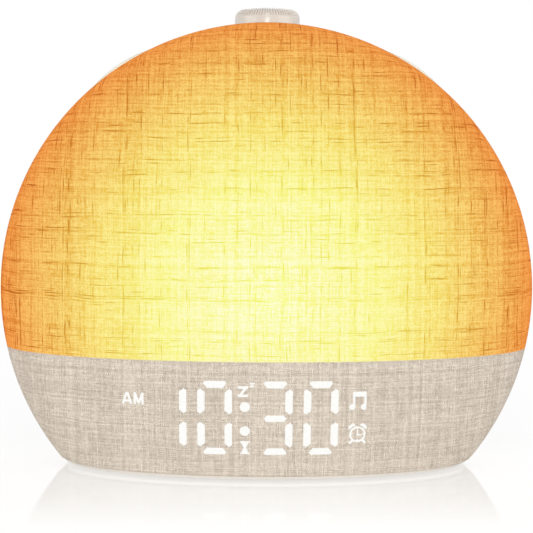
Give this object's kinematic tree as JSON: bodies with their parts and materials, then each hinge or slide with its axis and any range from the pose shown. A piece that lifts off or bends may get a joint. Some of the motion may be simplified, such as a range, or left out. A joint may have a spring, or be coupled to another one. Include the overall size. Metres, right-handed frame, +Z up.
{
  "type": "colour change alarm clock",
  "caption": "Bedside alarm clock with a domed linen front lit from inside, a digit display behind the linen, a turning knob on top and push buttons on the rim.",
  "frame": {"origin": "middle of the body's footprint box on the table plane, under the foot pad", "axes": "+Z up along the knob's axis, +X to the viewer's right across the front, +Y from the front towards the back"},
  "size_m": [0.19, 0.096, 0.1635],
  "materials": {
    "linen": "woven",
    "opal": "matt",
    "dark_plastic": "matt",
    "white_plastic": "satin",
    "cream_plastic": "satin",
    "knob_plastic": "satin",
    "button_plastic": "satin",
    "plunger_plastic": "satin",
    "circuit_board": "solder mask",
    "lamp_body": "satin",
    "clear_acrylic": "clear",
    "foot_rubber": "matt",
    "steel": "plated",
    "encoder_metal": "plated",
    "chip_plastic": "moulded",
    "capacitor_can": "can",
    "inductor_core": "ferrite",
    "paper_cone": "pressed paper",
    "coil_copper": "enamelled",
    "surround_rubber": "moulded",
    "gasket_foam": "foam",
    "lead_insulation": "extruded"
  },
  "bodies": {
    "clock_body": {"base_plate": "cream_plastic", "board_screws": "steel", "button_cell": "steel", "capacitors": "capacitor_can", "casing_screws": "steel", "cell_holder": "dark_plastic", "chips": "chip_plastic", "connectors": "white_plastic", "display_board": "circuit_board", "display_lamps": "lamp_body", "display_light_box": "dark_plastic", "display_light_pipes": "clear_acrylic", "display_ribbon": "lead_insulation", "encoder_board": "circuit_board", "encoder_housing": "encoder_metal", "encoder_lead": "lead_insulation", "encoder_nut": "steel", "fabric_cover": "linen", "foot_pad": "foot_rubber", "front_fascia": "dark_plastic", "inductor": "inductor_core", "inner_frame": "white_plastic", "jack_pin": "steel", "lamp_board": "circuit_board", "lamp_lead": "lead_insulation", "lamps": "lamp_body", "light_diffuser": "opal", "main_board": "circuit_board", "power_jack": "dark_plastic", "rear_casing": "cream_plastic", "reflector": "white_plastic", "rim_switches": "dark_plastic", "set_switches": "dark_plastic", "short_screws": "steel", "speaker_basket": "steel", "speaker_gasket": "gasket_foam", "speaker_lead": "lead_insulation", "speaker_magnet": "inductor_core", "speaker_surround": "surround_rubber", "switch_boards": "circuit_board", "switch_leads": "lead_insulation"},
    "encoder_rotor": {"encoder_rotor": "plunger_plastic"},
    "knob": {"knob": "knob_plastic", "encoder_shaft": "steel"},
    "left_button": {"left_button": "button_plastic", "left_plunger": "plunger_plastic"},
    "right_button": {"right_button": "button_plastic", "right_plunger": "plunger_plastic"},
    "set_button_left": {"set_button_left": "button_plastic", "set_plunger_left": "plunger_plastic"},
    "set_button_middle": {"set_button_middle": "button_plastic", "set_plunger_middle": "plunger_plastic"},
    "set_button_right": {"set_button_right": "button_plastic", "set_plunger_right": "plunger_plastic"},
    "speaker_cone": {"speaker_cone": "paper_cone", "voice_coil": "coil_copper"}
  },
  "joints": [
    {"name": "knob_turn", "type": "hinge", "parent": "clock_body", "child": "encoder_rotor", "pos_m": [0, 0.0265, 0.1555], "axis": [0, 0, 1], "continuous": true},
    {"name": "knob_press", "type": "slide", "parent": "encoder_rotor", "child": "knob", "axis": [0, 0, -1], "range_m": [0, 0.0008], "stiffness_N_per_m": 2500, "springref_m": -0.0008},
    {"name": "left_button_press", "type": "slide", "parent": "clock_body", "child": "left_button", "axis": [0.5548, 0, -0.832], "range_m": [0, 0.0008], "stiffness_N_per_m": 1500, "springref_m": -0.0006},
    {"name": "right_button_press", "type": "slide", "parent": "clock_body", "child": "right_button", "axis": [-0.5548, 0, -0.832], "range_m": [0, 0.0008], "stiffness_N_per_m": 1500, "springref_m": -0.0006},
    {"name": "set_left_press", "type": "slide", "parent": "clock_body", "child": "set_button_left", "axis": [0, -1, 0], "range_m": [0, 0.0007], "stiffness_N_per_m": 1200, "springref_m": -0.0006},
    {"name": "set_middle_press", "type": "slide", "parent": "clock_body", "child": "set_button_middle", "axis": [0, -1, 0], "range_m": [0, 0.0007], "stiffness_N_per_m": 1200, "springref_m": -0.0006},
    {"name": "set_right_press", "type": "slide", "parent": "clock_body", "child": "set_button_right", "axis": [0, -1, 0], "range_m": [0, 0.0007], "stiffness_N_per_m": 1200, "springref_m": -0.0006},
    {"name": "cone_travel", "type": "slide", "parent": "clock_body", "child": "speaker_cone", "axis": [0, 1, 0], "range_m": [-0.0006, 0.0006], "stiffness_N_per_m": 2000, "deforming": ["speaker_surround"]}
  ]
}
